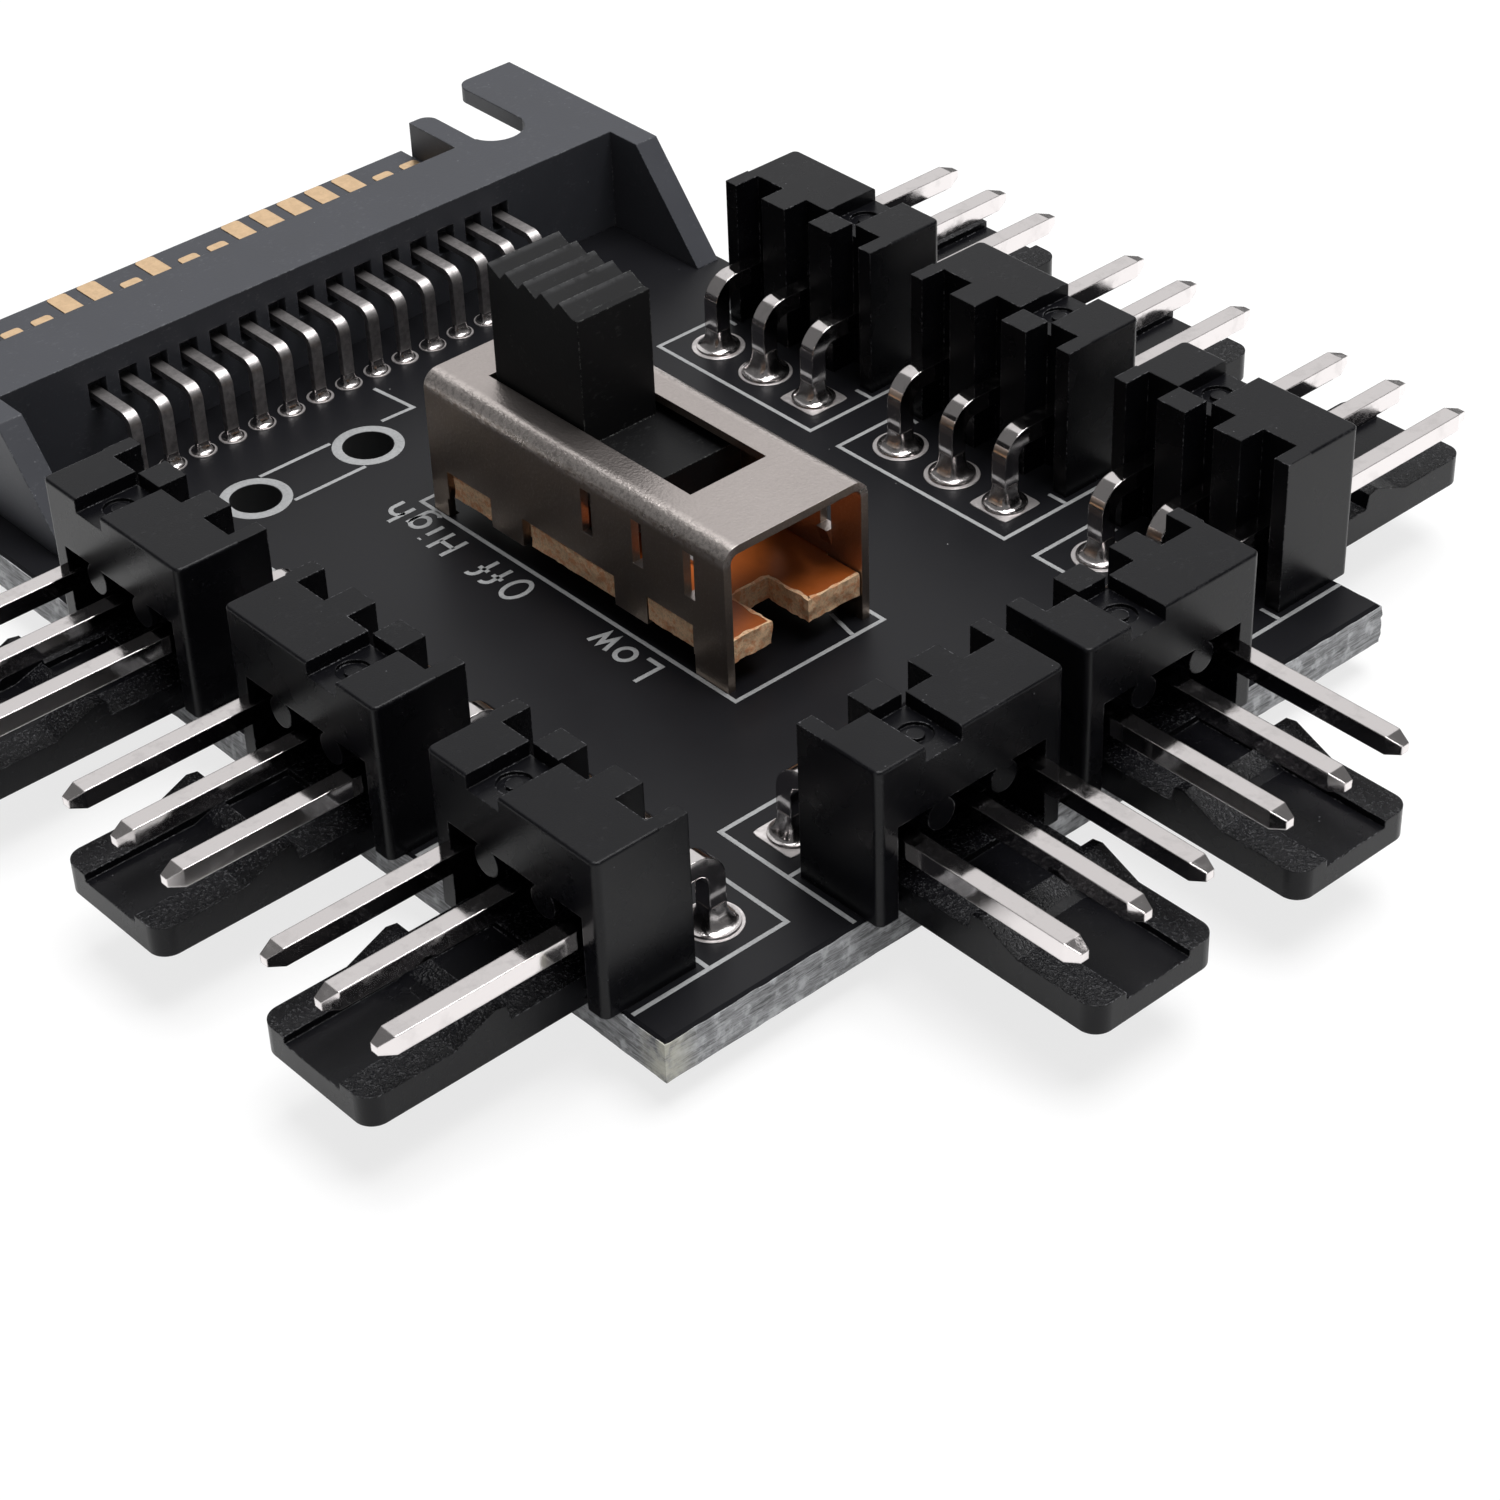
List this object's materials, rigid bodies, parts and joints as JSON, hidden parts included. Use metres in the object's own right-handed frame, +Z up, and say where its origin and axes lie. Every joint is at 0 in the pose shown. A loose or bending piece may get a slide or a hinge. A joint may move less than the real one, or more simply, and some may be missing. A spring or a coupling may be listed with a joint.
{
  "type": "pc fan controller hub",
  "caption": "Small circuit board with three-pin fan headers on three edges, an edge power plug and a High, Off and Low slide switch.",
  "frame": {"origin": "centre of the overall box in plan, at the level of the fan pins' solder tails", "axes": "+X from the power plug towards the pair of end headers, along the board; +Y towards the left row of headers; +Z up out of the component side"},
  "size_m": [0.052, 0.0466, 0.0122],
  "materials": {
    "solder_mask_board": "semi-gloss black solder mask, rough grey glass-fibre edges",
    "header_nylon": "satin moulded black",
    "plug_nylon": "fine matt moulded dark grey",
    "knob_nylon": "satin moulded black",
    "tinned_pin": "bright tin plate",
    "plug_contact_metal": "gold flash on the blades, bright tin on the leads",
    "nickel_plate": "grainy warm nickel plate",
    "phenolic_plate": "waxy orange-brown paper laminate, pale sheared edges",
    "silver_contact": "silver plate",
    "spring_steel": "bright rolled",
    "solder": "bright reflowed solder",
    "pad_copper": "tinned pad",
    "screen_print": "matt white ink"
  },
  "bodies": {
    "root": {"circuit_board": "solder_mask_board", "plug_housing": "plug_nylon", "switch_shell": "nickel_plate", "switch_base": "phenolic_plate", "right_header_1": "header_nylon", "right_header_2": "header_nylon", "right_header_3": "header_nylon", "left_header_1": "header_nylon", "left_header_2": "header_nylon", "left_header_3": "header_nylon", "end_header_1": "header_nylon", "end_header_2": "header_nylon", "right_header_1_pin_1": "tinned_pin", "right_header_1_pin_2": "tinned_pin", "right_header_1_pin_3": "tinned_pin", "right_header_2_pin_1": "tinned_pin", "right_header_2_pin_2": "tinned_pin", "right_header_2_pin_3": "tinned_pin", "right_header_3_pin_1": "tinned_pin", "right_header_3_pin_2": "tinned_pin", "right_header_3_pin_3": "tinned_pin", "left_header_1_pin_1": "tinned_pin", "left_header_1_pin_2": "tinned_pin", "left_header_1_pin_3": "tinned_pin", "left_header_2_pin_1": "tinned_pin", "left_header_2_pin_2": "tinned_pin", "left_header_2_pin_3": "tinned_pin", "left_header_3_pin_1": "tinned_pin", "left_header_3_pin_2": "tinned_pin", "left_header_3_pin_3": "tinned_pin", "end_header_1_pin_1": "tinned_pin", "end_header_1_pin_2": "tinned_pin", "end_header_1_pin_3": "tinned_pin", "end_header_2_pin_1": "tinned_pin", "end_header_2_pin_2": "tinned_pin", "end_header_2_pin_3": "tinned_pin", "plug_contact_01": "plug_contact_metal", "plug_contact_02": "plug_contact_metal", "plug_contact_03": "plug_contact_metal", "plug_contact_04": "plug_contact_metal", "plug_contact_05": "plug_contact_metal", "plug_contact_06": "plug_contact_metal", "plug_contact_07": "plug_contact_metal", "plug_contact_08": "plug_contact_metal", "plug_contact_09": "plug_contact_metal", "plug_contact_10": "plug_contact_metal", "plug_contact_11": "plug_contact_metal", "plug_contact_12": "plug_contact_metal", "plug_contact_13": "plug_contact_metal", "plug_contact_14": "plug_contact_metal", "plug_contact_15": "plug_contact_metal", "switch_terminal_1": "silver_contact", "switch_terminal_2": "silver_contact", "switch_terminal_3": "silver_contact", "switch_terminal_4": "silver_contact"},
    "slider": {"switch_slider": "knob_nylon", "contact_clip": "silver_contact", "detent_spring": "spring_steel"}
  },
  "joints": [
    {"name": "switch_travel", "type": "slide", "parent": "root", "child": "slider", "axis": [1, 0, 0], "range_m": [0, 0.005]}
  ]
}
